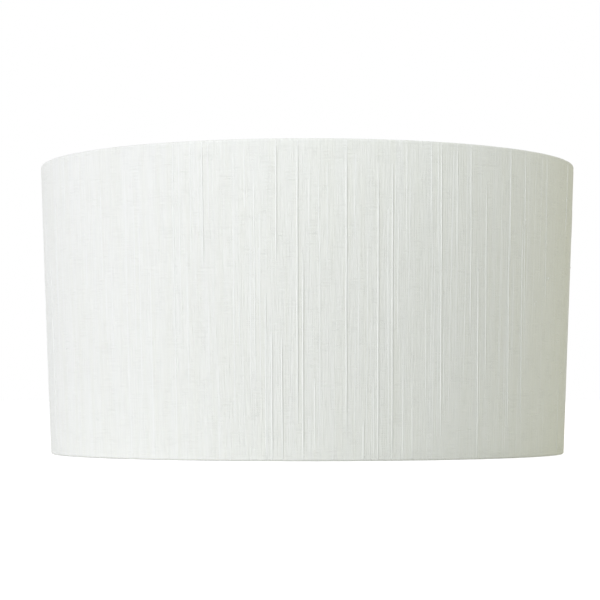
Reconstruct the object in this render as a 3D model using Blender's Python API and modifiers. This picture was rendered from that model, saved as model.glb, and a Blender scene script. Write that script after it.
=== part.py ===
"""A tapered drum lamp shade, in metres with +Z up.

The shade stands on its bottom rim. The origin is the centre of the bottom rim, in the plane that the rim rests on.
A fabric cover and a plastic liner are rolled round two wire rings and lapped at the back. Three bent spokes hang a
carrier ring in the middle of the top ring. A fitter ring tilts in the carrier on two rivets, and a reducer ring
lifts out of the fitter.
"""

import math

import bmesh
import bpy
from mathutils import Vector

# Clearance between pieces that touch on the real shade.
TOUCH_GAP = 0.0003

# The shade's outside.
TOP_DIAMETER = 0.450
BOTTOM_DIAMETER = 0.431
HEIGHT = 0.240
ROUND_STEPS = 72
FACET_TURN = math.radians(30)

# The layers of the wall, and how far they lap at the seam.
FABRIC_THICKNESS = 0.0005
LINER_THICKNESS = 0.0004
TAPE_THICKNESS = 0.0002
LAP_WIDTH = 0.012
LAP_RAMP = 0.004
TAPE_INSET = 0.001
SEAM_ANGLE = math.radians(90)
HEM_END_NORMAL = math.radians(240)

# The two rings and the spokes.
RING_WIRE = 0.0035
SPOKE_WIRE = 0.0030
SPOKE_COUNT = 3
FIRST_SPOKE_ANGLE = math.radians(30)
SPOKE_DROP = 0.035
SPOKE_SHOULDER = 0.008
SPOKE_SLOPE = math.radians(45)
SPOKE_BEND_RADIUS = 0.006
NOTCH_MARGIN = 0.0008

# The gimbal: a fixed carrier ring, and a fitter ring that tilts in it about the X axis.
FITTER_STEPS = 48
FITTER_HOLE = 0.042
FITTER_METAL = 0.0015
FITTER_HEIGHT = 0.010
CARRIER_WALL = 0.002
CARRIER_HEIGHT = 0.012
CARRIER_CLEARANCE = 0.004
EDGE_EASE = 0.0004

# The rivets and their spacers.
RIVET_STEPS = 24
RIVET_SHANK = 0.004
PIVOT_CLEARANCE = 0.00008
RIVET_HEAD = 0.0075
RIVET_HEAD_DEPTH = 0.0016
RIVET_TAIL = 0.0058
RIVET_TAIL_DEPTH = 0.001
SPACER_DIAMETER = 0.008

# The reducer ring.
REDUCER_LEDGE = 0.004
REDUCER_CLEARANCE = 0.0042
REDUCER_HOLE = 0.029
REDUCER_PLASTIC = 0.0016
REDUCER_SPIGOT_WALL = 0.0016
REDUCER_SPIGOT_PAST_PLATE = 0.001
REDUCER_COLLAR_HEIGHT = 0.0014

# Distances that follow from the sizes above.
WRAP = RING_WIRE / 2 + TOUCH_GAP + FABRIC_THICKNESS
TOP_WIRE_RADIUS = TOP_DIAMETER / 2 - WRAP
BOTTOM_WIRE_RADIUS = BOTTOM_DIAMETER / 2 - WRAP
TOP_WIRE_Z = HEIGHT - WRAP
BOTTOM_WIRE_Z = WRAP
LAP_RISE = FABRIC_THICKNESS + LINER_THICKNESS + TAPE_THICKNESS + 3 * TOUCH_GAP
WALL_NORMAL = -math.atan2(TOP_WIRE_RADIUS - BOTTOM_WIRE_RADIUS, TOP_WIRE_Z - BOTTOM_WIRE_Z)
MIDDLE_RADIUS = (TOP_DIAMETER + BOTTOM_DIAMETER) / 4
PIVOT_Z = TOP_WIRE_Z - SPOKE_DROP
FLANGE_RADIUS = FITTER_HOLE / 2 + REDUCER_LEDGE
FITTER_INNER = FLANGE_RADIUS + REDUCER_CLEARANCE + RIVET_TAIL_DEPTH + TOUCH_GAP
FITTER_OUTER = FITTER_INNER + FITTER_METAL
CARRIER_INNER = FITTER_OUTER + CARRIER_CLEARANCE
CARRIER_OUTER = CARRIER_INNER + CARRIER_WALL
PLATE_TOP = -FITTER_HEIGHT / 2 + FITTER_METAL


def clear_scene():
    for obj in list(bpy.data.objects):
        bpy.data.objects.remove(obj)


def new_collection(name):
    collection = bpy.data.collections.new(name)
    bpy.context.scene.collection.children.link(collection)
    return collection


def material(name, colour, roughness, metallic=0.0):
    made = bpy.data.materials.new(name)
    made.use_nodes = True
    shader = made.node_tree.nodes["Principled BSDF"]
    shader.inputs["Base Color"].default_value = (*colour, 1.0)
    shader.inputs["Roughness"].default_value = roughness
    shader.inputs["Metallic"].default_value = metallic
    return made


def add_object(name, data, finish=None):
    obj = bpy.data.objects.new(name, data)
    shade.objects.link(obj)
    if finish:
        data.materials.append(finish)
    return obj


def move_to(collection, obj):
    for owner in list(obj.users_collection):
        owner.objects.unlink(obj)
    collection.objects.link(obj)


def empty_at(name, location, parent=None):
    obj = add_object(name, None)
    obj.location = location
    obj.parent = parent
    return obj


def smooth(obj):
    obj.data.shade_smooth()
    obj.data.set_sharp_from_angle(angle=math.radians(40))


def as_cutter(obj, name):
    """Makes obj a hidden Boolean cutter."""
    obj.name = name
    obj.hide_render = True
    obj.display_type = "WIRE"
    move_to(cutters, obj)
    return obj


def cut(obj, cutter):
    boolean = obj.modifiers.new(cutter.name, "BOOLEAN")
    boolean.operation = "DIFFERENCE"
    boolean.object = cutter


def polar(radius, angle, z):
    return Vector((radius * math.cos(angle), radius * math.sin(angle), z))


# Turned pieces


def eased(corners, ease):
    """The closed outline with each corner cut back by ease along both of its sides."""
    outline = []
    for i, corner in enumerate(corners):
        here = Vector(corner)
        for neighbour in (Vector(corners[i - 1]), Vector(corners[(i + 1) % len(corners)])):
            outline.append(here + (neighbour - here).normalized() * ease)
    return outline


def turned(name, outline, steps, finish):
    """Spins a closed outline of (radius, height) points round the local Z axis.

    The outline runs down its outer side, inwards along the bottom and up its inner side.
    """
    mesh = bpy.data.meshes.new(name)
    edges = [(i, (i + 1) % len(outline)) for i in range(len(outline))]
    mesh.from_pydata([(radius, 0, z) for radius, z in outline], edges, [])
    obj = add_object(name, mesh, finish)
    screw = obj.modifiers.new("spin", "SCREW")
    screw.steps = steps
    screw.render_steps = steps
    screw.use_merge_vertices = True
    screw.merge_threshold = 0.00001
    screw.use_smooth_shade = False
    return obj


# The rolled wall


def facet_corner(centre, distance, normal_a, normal_b):
    """Where two facets meet that both lie at that distance from centre and face normal_a and normal_b."""
    middle = (normal_a + normal_b) / 2
    reach = distance / math.cos((normal_b - normal_a) / 2)
    return (centre[0] + reach * math.cos(middle), centre[1] + reach * math.sin(middle))


def hem(centre, distance, turn):
    """The corners of the cloth from the wall round a wire: turn is 1 at the top ring and -1 at the bottom ring."""
    facets = round(HEM_END_NORMAL / FACET_TURN)
    normals = [WALL_NORMAL] + [turn * FACET_TURN * (i + 1) for i in range(facets)]
    corners = [facet_corner(centre, distance, a, b) for a, b in zip(normals, normals[1:])]
    last = normals[-1] + turn * FACET_TURN / 2
    reach = distance / math.cos(FACET_TURN / 2)
    corners.append((centre[0] + reach * math.cos(last), centre[1] + reach * math.sin(last)))
    return corners


def cover_section(distance):
    """(radius, height) of the cloth's outer face, from the end of the bottom hem to the end of the top hem."""
    bottom = hem((BOTTOM_WIRE_RADIUS, BOTTOM_WIRE_Z), distance, -1)
    top = hem((TOP_WIRE_RADIUS, TOP_WIRE_Z), distance, 1)
    return bottom[::-1] + top


def straight_section(distance, setback):
    """The two ends of a straight layer at that distance outside the wires, stopping setback short of them."""
    along = Vector((TOP_WIRE_RADIUS - BOTTOM_WIRE_RADIUS, TOP_WIRE_Z - BOTTOM_WIRE_Z)).normalized()
    out = Vector((math.cos(WALL_NORMAL), math.sin(WALL_NORMAL))) * distance
    bottom = Vector((BOTTOM_WIRE_RADIUS, BOTTOM_WIRE_Z)) + along * setback + out
    top = Vector((TOP_WIRE_RADIUS, TOP_WIRE_Z)) - along * setback + out
    return [tuple(bottom), tuple(top)]


def lap_columns():
    """Turns from the start of a layer to the end of its lapped zone, on the common grid."""
    step = math.tau / ROUND_STEPS
    lap = LAP_WIDTH / MIDDLE_RADIUS
    inside = [i * step for i in range(int(lap / step) + 1) if i * step < lap - step / 10]
    return inside + [lap]


def layer_columns():
    """Turns of a whole layer: its first end, once round, the ramp, and the lap over the first end."""
    step = math.tau / ROUND_STEPS
    lap = lap_columns()
    ramp = math.tau - LAP_RAMP / MIDDLE_RADIUS
    round_once = [i * step for i in range(ROUND_STEPS) if lap[-1] + step / 10 < i * step < ramp - step / 10]
    return lap + round_once + [ramp] + [math.tau + turn for turn in lap]


def rise(turn):
    """How far a layer has climbed onto the layer below at that turn."""
    ramp = LAP_RAMP / MIDDLE_RADIUS
    return LAP_RISE * min(1.0, max(0.0, (turn - math.tau + ramp) / ramp))


def rolled_sheet(name, columns, section, thickness, finish, keep_hem=None):
    """Rolls a flat grid into the wall. section(rise) gives a column's (radius, height) points on its outer face."""
    rows = len(section(0.0))
    grid = bmesh.new()
    bmesh.ops.create_grid(grid, x_segments=len(columns) - 1, y_segments=rows - 1, size=0.5)
    trimmed = []
    for face in grid.faces:
        centre = face.calc_center_median()
        column = int((centre.x + 0.5) * (len(columns) - 1))
        row = int((centre.y + 0.5) * (rows - 1))
        if keep_hem and not keep_hem(columns[column + 1], row, rows):
            trimmed.append(face)
    for corner in grid.verts:
        turn = columns[round((corner.co.x + 0.5) * (len(columns) - 1))]
        radius, z = section(rise(turn))[round((corner.co.y + 0.5) * (rows - 1))]
        corner.co = polar(radius, SEAM_ANGLE + turn, z)
    bmesh.ops.delete(grid, geom=trimmed, context="FACES")
    mesh = bpy.data.meshes.new(name)
    grid.to_mesh(mesh)
    grid.free()
    obj = add_object(name, mesh, finish)
    smooth(obj)
    shell = obj.modifiers.new("thickness", "SOLIDIFY")
    shell.thickness = thickness
    shell.offset = -1
    shell.use_even_offset = True
    shell.use_quality_normals = True
    return obj


def hem_is_kept(turn, row, rows):
    """The hems are trimmed away where the cover climbs onto its own first end, and only the wall is left."""
    return rise(turn) == 0 or row == (rows - 1) // 2


def make_cover(finish):
    """The slub cloth: one sheet round the shade, with its top and bottom margins turned in round the wires."""
    cover = rolled_sheet(
        "cover_fabric",
        layer_columns(),
        lambda climbed: cover_section(WRAP + climbed),
        FABRIC_THICKNESS,
        finish,
        hem_is_kept,
    )
    for i in range(SPOKE_COUNT):
        cut(cover, notch_cutter(i))
    return cover


def notch_cutter(i):
    """A block at the inside of the top hem, where a spoke meets the ring."""
    width = SPOKE_WIRE + 2 * NOTCH_MARGIN
    depth = 3 * WRAP
    low = TOP_WIRE_Z - 2 * WRAP
    high = TOP_WIRE_Z + SPOKE_WIRE / 2 + NOTCH_MARGIN
    angle = spoke_angle(i)
    middle = polar(TOP_WIRE_RADIUS - RING_WIRE / 4 - depth / 2, angle, (low + high) / 2)
    bpy.ops.mesh.primitive_cube_add(size=1, location=middle, rotation=(0, 0, angle))
    block = bpy.context.object
    block.dimensions = (depth, width, high - low)
    bpy.ops.object.transform_apply(location=False, rotation=False, scale=True)
    return as_cutter(block, f"spoke_notch_{i + 1}")


def make_liner(finish):
    """The stiff plastic panel that the cloth is laminated to, stopping just short of both hems."""
    outer_face = RING_WIRE / 2
    return rolled_sheet(
        "liner_panel",
        layer_columns(),
        lambda climbed: straight_section(outer_face + climbed, WRAP + TOUCH_GAP),
        LINER_THICKNESS,
        finish,
    )


def make_seam_tape(finish):
    """The double-sided tape that bonds the lapped end to the first end."""
    inset = TAPE_INSET / MIDDLE_RADIUS
    lap = lap_columns()
    columns = [inset] + [turn for turn in lap[:-1] if turn > inset] + [lap[-1] - inset]
    outer_face = WRAP + TOUCH_GAP + TAPE_THICKNESS
    return rolled_sheet(
        "seam_tape",
        columns,
        lambda climbed: straight_section(outer_face, WRAP + TOUCH_GAP),
        TAPE_THICKNESS,
        finish,
    )


# The frame


def make_ring(name, radius, z, finish):
    """A welded wire ring."""
    bpy.ops.mesh.primitive_torus_add(
        major_segments=ROUND_STEPS,
        minor_segments=8,
        major_radius=radius,
        minor_radius=RING_WIRE / 2,
        location=(0, 0, z),
    )
    ring = bpy.context.object
    ring.name = name
    ring.data.name = name
    ring.data.materials.append(finish)
    smooth(ring)
    move_to(shade, ring)
    return ring


def spoke_angle(i):
    return FIRST_SPOKE_ANGLE + math.tau * i / SPOKE_COUNT


def bend(corner, before, after, radius):
    """Points of the arc that rounds the corner between two unit directions."""
    steps = 4
    turn = before.angle(after)
    cut_back = radius * math.tan(turn / 2)
    start = corner - before * cut_back
    across = (after - before * before.dot(after)).normalized()
    points = []
    for i in range(steps + 1):
        angle = turn * i / steps
        points.append(start + before * radius * math.sin(angle) + across * radius * (1 - math.cos(angle)))
    return points


def make_spoke(i, finish):
    """A bent wire from the top ring, down and in to the carrier ring."""
    outer_end = TOP_WIRE_RADIUS - RING_WIRE / 2 - TOUCH_GAP
    inner_end = CARRIER_OUTER + TOUCH_GAP
    level_in = Vector((-1, 0, 0))
    down_in = Vector((-math.cos(SPOKE_SLOPE), 0, -math.sin(SPOKE_SLOPE)))
    upper = Vector((outer_end - SPOKE_SHOULDER, 0, SPOKE_DROP))
    lower = upper + down_in * (SPOKE_DROP / math.sin(SPOKE_SLOPE))
    route = [Vector((outer_end, 0, SPOKE_DROP))]
    route += bend(upper, level_in, down_in, SPOKE_BEND_RADIUS)
    route += bend(lower, down_in, level_in, SPOKE_BEND_RADIUS)
    route += [Vector((inner_end, 0, 0))]
    name = f"spoke_{i + 1}"
    curve = bpy.data.curves.new(name, "CURVE")
    curve.dimensions = "3D"
    curve.bevel_depth = SPOKE_WIRE / 2
    curve.bevel_resolution = 2
    curve.use_fill_caps = True
    line = curve.splines.new("POLY")
    line.points.add(len(route) - 1)
    for point, place in zip(line.points, route):
        point.co = (*place, 1)
    spoke = add_object(name, curve, finish)
    spoke.location = (0, 0, PIVOT_Z)
    spoke.rotation_euler = (0, 0, spoke_angle(i))
    return spoke


# The gimbal


def pivot_hole_cutter(name, parent):
    """A bar along X through both pivot holes."""
    bpy.ops.mesh.primitive_cylinder_add(
        vertices=RIVET_STEPS,
        radius=RIVET_SHANK / 2 + PIVOT_CLEARANCE,
        depth=2 * (CARRIER_OUTER + CARRIER_WALL),
        rotation=(0, math.radians(90), 0),
    )
    bar = as_cutter(bpy.context.object, name)
    bar.parent = parent
    return bar


def make_carrier(finish, gimbal):
    """The band that the spokes are welded to, with a hole at each side for a rivet."""
    half = CARRIER_HEIGHT / 2
    corners = [(CARRIER_OUTER, half), (CARRIER_OUTER, -half), (CARRIER_INNER, -half), (CARRIER_INNER, half)]
    carrier = turned("carrier_ring", eased(corners, EDGE_EASE), FITTER_STEPS, finish)
    carrier.parent = gimbal
    cut(carrier, pivot_hole_cutter("carrier_holes", gimbal))
    return carrier


def make_fitter(finish, tilt):
    """The pressed ring that a lampholder is clamped to: a flat plate with an upturned rim that holds the pivots."""
    hole = FITTER_HOLE / 2
    half = FITTER_HEIGHT / 2
    corners = [
        (FITTER_OUTER, half),
        (FITTER_OUTER, -half),
        (hole, -half),
        (hole, PLATE_TOP),
        (FITTER_INNER, PLATE_TOP),
        (FITTER_INNER, half),
    ]
    fitter = turned("fitter_ring", eased(corners, EDGE_EASE), FITTER_STEPS, finish)
    fitter.parent = tilt
    cut(fitter, pivot_hole_cutter("fitter_holes", tilt))
    return fitter


def make_rivet(name, side, finish, gimbal):
    """A round-headed rivet: its head is outside the carrier and its tail is inside the fitter's rim."""
    outside = CARRIER_OUTER + TOUCH_GAP
    inside = FITTER_INNER - TOUCH_GAP
    shank = RIVET_SHANK / 2
    head = RIVET_HEAD / 2
    tail = RIVET_TAIL / 2
    outline = [
        (0, outside + RIVET_HEAD_DEPTH),
        (head * 0.55, outside + RIVET_HEAD_DEPTH * 0.85),
        (head * 0.9, outside + RIVET_HEAD_DEPTH * 0.45),
        (head, outside),
        (shank, outside),
        (shank, inside),
        (tail, inside),
        (tail * 0.8, inside - RIVET_TAIL_DEPTH),
        (0, inside - RIVET_TAIL_DEPTH),
    ]
    mesh = bpy.data.meshes.new(name)
    mesh.from_pydata([(radius, 0, z) for radius, z in outline], [(i, i + 1) for i in range(len(outline) - 1)], [])
    rivet = add_object(name, mesh, finish)
    screw = rivet.modifiers.new("spin", "SCREW")
    screw.steps = RIVET_STEPS
    screw.render_steps = RIVET_STEPS
    screw.use_merge_vertices = True
    screw.merge_threshold = 0.00001
    rivet.rotation_euler = (0, side * math.radians(90), 0)
    rivet.parent = gimbal
    return rivet


def make_spacer(name, side, finish, gimbal):
    """A nylon washer on the rivet, which fills the space between the two rings and gives the tilt its friction."""
    outer = SPACER_DIAMETER / 2
    high = math.sqrt(CARRIER_INNER**2 - outer**2) - TOUCH_GAP
    low = FITTER_OUTER + TOUCH_GAP
    inner = RIVET_SHANK / 2 + PIVOT_CLEARANCE
    corners = [(outer, high), (outer, low), (inner, low), (inner, high)]
    spacer = turned(name, corners, RIVET_STEPS, finish)
    spacer.rotation_euler = (0, side * math.radians(90), 0)
    spacer.parent = gimbal
    return spacer


def make_reducer(finish, lift):
    """The plastic ring that drops into the fitter's hole and makes it smaller."""
    spigot = FITTER_HOLE / 2 - TOUCH_GAP
    spigot_inner = spigot - REDUCER_SPIGOT_WALL
    hole = REDUCER_HOLE / 2
    collar = hole + REDUCER_PLASTIC
    top = REDUCER_PLASTIC
    bottom = -(TOUCH_GAP + FITTER_METAL + REDUCER_SPIGOT_PAST_PLATE)
    corners = [
        (collar, top + REDUCER_COLLAR_HEIGHT),
        (collar, top),
        (FLANGE_RADIUS, top),
        (FLANGE_RADIUS, 0),
        (spigot, 0),
        (spigot, bottom),
        (spigot_inner, bottom),
        (spigot_inner, 0),
        (hole, 0),
        (hole, top + REDUCER_COLLAR_HEIGHT),
    ]
    reducer = turned("reducer_ring", eased(corners, EDGE_EASE), FITTER_STEPS, finish)
    reducer.parent = lift
    return reducer


clear_scene()
shade = new_collection("lamp_shade")
cutters = new_collection("cutters")

ivory_cloth = material("ivory_slub_cloth", (0.85, 0.86, 0.82), 0.85)
white_pvc = material("white_pvc_panel", (0.88, 0.88, 0.87), 0.4)
clear_tape = material("adhesive_tape", (0.85, 0.85, 0.80), 0.5)
white_enamel = material("white_powder_coat", (0.86, 0.86, 0.85), 0.35)
white_nylon = material("white_nylon", (0.83, 0.83, 0.81), 0.45)
zinc = material("zinc_plate", (0.62, 0.63, 0.64), 0.3, 1.0)

make_cover(ivory_cloth)
make_liner(white_pvc)
make_seam_tape(clear_tape)
make_ring("top_ring", TOP_WIRE_RADIUS, TOP_WIRE_Z, white_enamel)
make_ring("bottom_ring", BOTTOM_WIRE_RADIUS, BOTTOM_WIRE_Z, white_enamel)
for number in range(SPOKE_COUNT):
    make_spoke(number, white_enamel)

gimbal_centre = empty_at("gimbal_centre", (0, 0, PIVOT_Z))
tilt_axis = empty_at("tilt_axis", (0, 0, 0), gimbal_centre)
lift_axis = empty_at("lift_axis", (0, 0, PLATE_TOP + TOUCH_GAP), tilt_axis)
make_carrier(white_enamel, gimbal_centre)
make_fitter(white_enamel, tilt_axis)
for side_name, side_sign in (("right", 1), ("left", -1)):
    make_rivet(f"pivot_rivet_{side_name}", side_sign, zinc, gimbal_centre)
    make_spacer(f"pivot_spacer_{side_name}", side_sign, white_nylon, gimbal_centre)
make_reducer(white_nylon, lift_axis)
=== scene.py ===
"""The looks of a rolled-edge drum lamp shade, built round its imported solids.

Everything is in metres in the solids' own frame: the origin is the middle of the bottom rim and +Z is up.
The pieces come in the order in which the shade is put together: rings, spokes, gimbal, rivets, reducer,
panel, cloth, slubs, seam.
"""

import math
import random

import bmesh
import bpy
from mathutils import Matrix, Vector, noise


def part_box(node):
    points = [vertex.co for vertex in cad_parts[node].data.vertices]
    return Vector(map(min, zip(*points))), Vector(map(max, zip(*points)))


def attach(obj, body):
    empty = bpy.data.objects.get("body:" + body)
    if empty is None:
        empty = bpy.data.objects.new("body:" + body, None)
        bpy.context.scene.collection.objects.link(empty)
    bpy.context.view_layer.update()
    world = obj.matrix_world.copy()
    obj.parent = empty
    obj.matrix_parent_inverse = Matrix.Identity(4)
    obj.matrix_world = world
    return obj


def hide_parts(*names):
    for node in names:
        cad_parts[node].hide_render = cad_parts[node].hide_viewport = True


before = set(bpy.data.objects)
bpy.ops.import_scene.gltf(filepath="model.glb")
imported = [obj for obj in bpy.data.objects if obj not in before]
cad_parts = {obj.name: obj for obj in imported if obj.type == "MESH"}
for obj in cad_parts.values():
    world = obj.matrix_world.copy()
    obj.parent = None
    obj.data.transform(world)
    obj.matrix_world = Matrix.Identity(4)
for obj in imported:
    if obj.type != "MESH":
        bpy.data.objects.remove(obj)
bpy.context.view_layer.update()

# THE TWO RINGS
# Each ring is 3.5 mm drawn steel wire, bent to a hoop, butt-welded and powder-coated white. The cloth is
# rolled round it, so it shows only where the hem is slit for a spoke.

HOOP_POINTS = 180
WIRE_ROUND = 5


def hoop(node):
    """The radius and height of a ring's centreline and the radius of its wire, from its solid."""
    low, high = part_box(node)
    wire = (high.z - low.z) / 2
    return high.x - wire, (low.z + high.z) / 2, wire


TOP_RADIUS, TOP_HEIGHT, _ = hoop("top_ring")
BOTTOM_RADIUS, BOTTOM_HEIGHT, RING_WIRE = hoop("bottom_ring")


def polar(radius, angle, height):
    return Vector((radius * math.cos(angle), radius * math.sin(angle), height))


def linear(code):
    """An sRGB hex colour as the linear colour that a shader takes."""
    channels = [int(code[i : i + 2], 16) / 255 for i in (1, 3, 5)]
    return [c / 12.92 if c <= 0.04045 else ((c + 0.055) / 1.055) ** 2.4 for c in channels] + [1.0]


def put(tree, kind, inputs=None, **settings):
    """Adds a node with its settings, and sets each input or links it to another node's output."""
    made = tree.nodes.new(kind)
    for setting, value in settings.items():
        setattr(made, setting, value)
    for socket, value in (inputs or {}).items():
        if isinstance(value, bpy.types.NodeSocket):
            tree.links.new(value, made.inputs[socket])
        else:
            made.inputs[socket].default_value = value
    return made


def new_material(name, roughness, metallic=0.0, ior=1.5):
    """A material with its shader's plain numbers set, and its tree and shader for the nodes that follow."""
    made = bpy.data.materials.new(name)
    made.use_nodes = True
    shader = made.node_tree.nodes["Principled BSDF"]
    shader.inputs["Roughness"].default_value = roughness
    shader.inputs["Metallic"].default_value = metallic
    if not metallic:
        shader.inputs["IOR"].default_value = ior
    return made, made.node_tree, shader


def into_shader(tree, shader, colour=None, roughness=None, height=None, depth=0.0):
    """Links a colour, a roughness and a surface relief of that depth in metres into the shader."""
    if colour:
        tree.links.new(colour, shader.inputs["Base Color"])
    if roughness:
        tree.links.new(roughness, shader.inputs["Roughness"])
    if height:
        relief = put(tree, "ShaderNodeBump", {"Height": height, "Distance": depth})
        tree.links.new(relief.outputs["Normal"], shader.inputs["Normal"])


def powder_coat():
    """White polyester powder coat on steel: a satin skin with a fine orange peel and a trace of yellowing.

    The peel's cells are 0.5 mm across in life. They are drawn 1.2 mm across, so that they show. The yellowing
    comes in clouds about 30 mm across.
    """
    coat, tree, shader = new_material("white_powder_coated_steel", 0.36, ior=1.5)
    place = put(tree, "ShaderNodeTexCoord").outputs["Object"]
    peel = put(
        tree, "ShaderNodeTexNoise", {"Vector": place, "Scale": 1 / 0.0012, "Detail": 2.0, "Roughness": 0.45}
    )
    cloudy = put(tree, "ShaderNodeTexNoise", {"Vector": place, "Scale": 1 / 0.03, "Detail": 3.0})
    tint = put(
        tree,
        "ShaderNodeMix",
        {"Factor": cloudy.outputs["Fac"], "A": linear("#f3f3ef"), "B": linear("#e9e8e2")},
        data_type="RGBA",
    )
    sheen = put(tree, "ShaderNodeMapRange", {"Value": cloudy.outputs["Fac"], "To Min": 0.30, "To Max": 0.44})
    into_shader(tree, shader, tint.outputs["Result"], sheen.outputs["Result"], peel.outputs["Fac"], 0.00004)
    return coat


white_enamel = powder_coat()


def wire(name, route, radius, material, node, closed=False):
    """A round wire along a route, as a curve that stands for its solid."""
    curve = bpy.data.curves.new(name, "CURVE")
    curve.dimensions = "3D"
    curve.bevel_depth = radius
    curve.bevel_resolution = WIRE_ROUND
    curve.use_fill_caps = True
    line = curve.splines.new("POLY")
    line.points.add(len(route) - 1)
    for point, spot in zip(line.points, route):
        point.co = (*spot, 1)
    line.use_cyclic_u = closed
    line.use_smooth = True
    curve.materials.append(material)
    piece = bpy.data.objects.new(name, curve)
    bpy.context.scene.collection.objects.link(piece)
    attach(piece, "shade")
    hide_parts(node)


def round_trip(radius, height):
    return [polar(radius, math.tau * i / HOOP_POINTS, height) for i in range(HOOP_POINTS)]


wire(
    "top_ring_wire",
    round_trip(TOP_RADIUS, TOP_HEIGHT),
    RING_WIRE,
    white_enamel,
    "top_ring",
    closed=True,
)
wire(
    "bottom_ring_wire",
    round_trip(BOTTOM_RADIUS, BOTTOM_HEIGHT),
    RING_WIRE,
    white_enamel,
    "bottom_ring",
    closed=True,
)

# THE SPOKES
# Three 3 mm steel wires, bent down from the top ring to the carrier in the middle. Each end is welded on by
# resistance, which leaves a small uneven bead under the powder coat.

SPOKES = 3
FIRST_SPOKE = math.radians(30)
SPOKE_SHOULDER = 0.008
SPOKE_SLOPE = math.radians(45)
SPOKE_BEND = 0.006
WELD = 0.0030
WELD_SINK = 0.0002

spoke_low, spoke_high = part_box("spoke_3")
carrier_low, carrier_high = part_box("carrier_ring")
CARRIER_OUTER = carrier_high.x
PIVOT_HEIGHT = (carrier_low.z + carrier_high.z) / 2
SPOKE_WIRE = (spoke_high.x - spoke_low.x) / 2
SPOKE_DROP = spoke_high.z - SPOKE_WIRE - PIVOT_HEIGHT


def spoke_angle(i):
    return FIRST_SPOKE + math.tau * i / SPOKES


def bend(corner, before, after, radius, steps=10):
    """Points of the arc that rounds the corner between two unit directions."""
    turn = before.angle(after)
    start = corner - before * radius * math.tan(turn / 2)
    across = (after - before * before.dot(after)).normalized()
    angles = [turn * i / steps for i in range(steps + 1)]
    return [start + before * radius * math.sin(a) + across * radius * (1 - math.cos(a)) for a in angles]


def spoke_route(i):
    """From the top ring's wire, level, down the slope and level again to the carrier's side."""
    level = Vector((-1, 0, 0))
    down = Vector((-math.cos(SPOKE_SLOPE), 0, -math.sin(SPOKE_SLOPE)))
    start = Vector((TOP_RADIUS - RING_WIRE * 0.7, 0, TOP_HEIGHT))
    upper = Vector((TOP_RADIUS - RING_WIRE - SPOKE_SHOULDER, 0, TOP_HEIGHT))
    lower = upper + down * SPOKE_DROP / math.sin(SPOKE_SLOPE)
    end = Vector((CARRIER_OUTER - WELD_SINK, 0, PIVOT_HEIGHT))
    route = [start, *bend(upper, level, down, SPOKE_BEND), *bend(lower, down, level, SPOKE_BEND), end]
    return [Matrix.Rotation(spoke_angle(i), 3, "Z") @ point for point in route]


for i in range(SPOKES):
    wire(f"spoke_wire_{i + 1}", spoke_route(i), SPOKE_WIRE, white_enamel, f"spoke_{i + 1}")


def mesh_piece(name, grid, material, body, replaced=(), soft_edge=40):
    """Turns a bmesh into a smooth-shaded piece that rides on a body."""
    mesh = bpy.data.meshes.new(name)
    grid.to_mesh(mesh)
    grid.free()
    mesh.materials.append(material)
    mesh.shade_smooth()
    mesh.set_sharp_from_angle(angle=math.radians(soft_edge))
    piece = bpy.data.objects.new(name, mesh)
    bpy.context.scene.collection.objects.link(piece)
    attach(piece, body)
    if replaced:
        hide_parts(*replaced)
    return piece


def add_weld(grid, centre, size, seed):
    """A lump of weld metal: a rounded blob, drawn out of true by noise."""
    blob = bmesh.ops.create_icosphere(grid, subdivisions=3, radius=1.0)["verts"]
    for corner in blob:
        direction = corner.co.normalized()
        swell = 1 + 0.22 * noise.noise(direction * 1.7 + Vector((seed, seed * 0.37, 0)))
        corner.co = centre + Vector(a * b for a, b in zip(direction, size)) * swell


welds = bmesh.new()
for i in range(SPOKES):
    outward = polar(1, spoke_angle(i), 0)
    at_ring = outward * (TOP_RADIUS - RING_WIRE - WELD_SINK) + Vector((0, 0, TOP_HEIGHT))
    at_carrier = outward * (CARRIER_OUTER + WELD * 0.1) + Vector((0, 0, PIVOT_HEIGHT))
    add_weld(welds, at_ring, (WELD * 0.62, WELD * 0.62, WELD * 0.55), 3.1 + i)
    add_weld(welds, at_carrier, (WELD * 0.75, WELD * 0.75, WELD * 0.80), 8.4 + i)
mesh_piece("weld_beads", welds, white_enamel, "shade")

# THE GIMBAL
# A flat-rolled steel band is welded to the spokes. A pressed steel ring with a 42 mm hole tilts inside it
# on two rivets. Both are powder-coated, and their cut edges are tumbled round.

TURNED_STEPS = 128
HOLE_STEPS = 40
TUMBLED_EDGE = 0.0005
PRESSED_EDGE = 0.00012

fitter_low, fitter_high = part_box("fitter_ring")
rivet_low, rivet_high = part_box("pivot_rivet_right")
spacer_low, spacer_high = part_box("pivot_spacer_right")
CARRIER_INNER = 0.036
CARRIER_HALF = (carrier_high.z - carrier_low.z) / 2
FITTER_OUTER = fitter_high.x
FITTER_HALF = (fitter_high.z - fitter_low.z) / 2
FITTER_METAL = 0.0015
FITTER_HOLE = 0.021
PLATE_TOP = PIVOT_HEIGHT - FITTER_HALF + FITTER_METAL
PIN = 0.002
PIN_HOLE = PIN + 0.00008
pivot = Vector((0, 0, PIVOT_HEIGHT))


def rounded(corners, radius, steps=4):
    """A closed outline with each corner rounded to the given radius."""
    outline = []
    for i, corner in enumerate(corners):
        here = Vector((*corner, 0))
        before = (here - Vector((*corners[i - 1], 0))).normalized()
        after = (Vector((*corners[(i + 1) % len(corners)], 0)) - here).normalized()
        outline += [(p.x, p.y) for p in bend(here, before, after, radius, steps)]
    return outline


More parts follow.
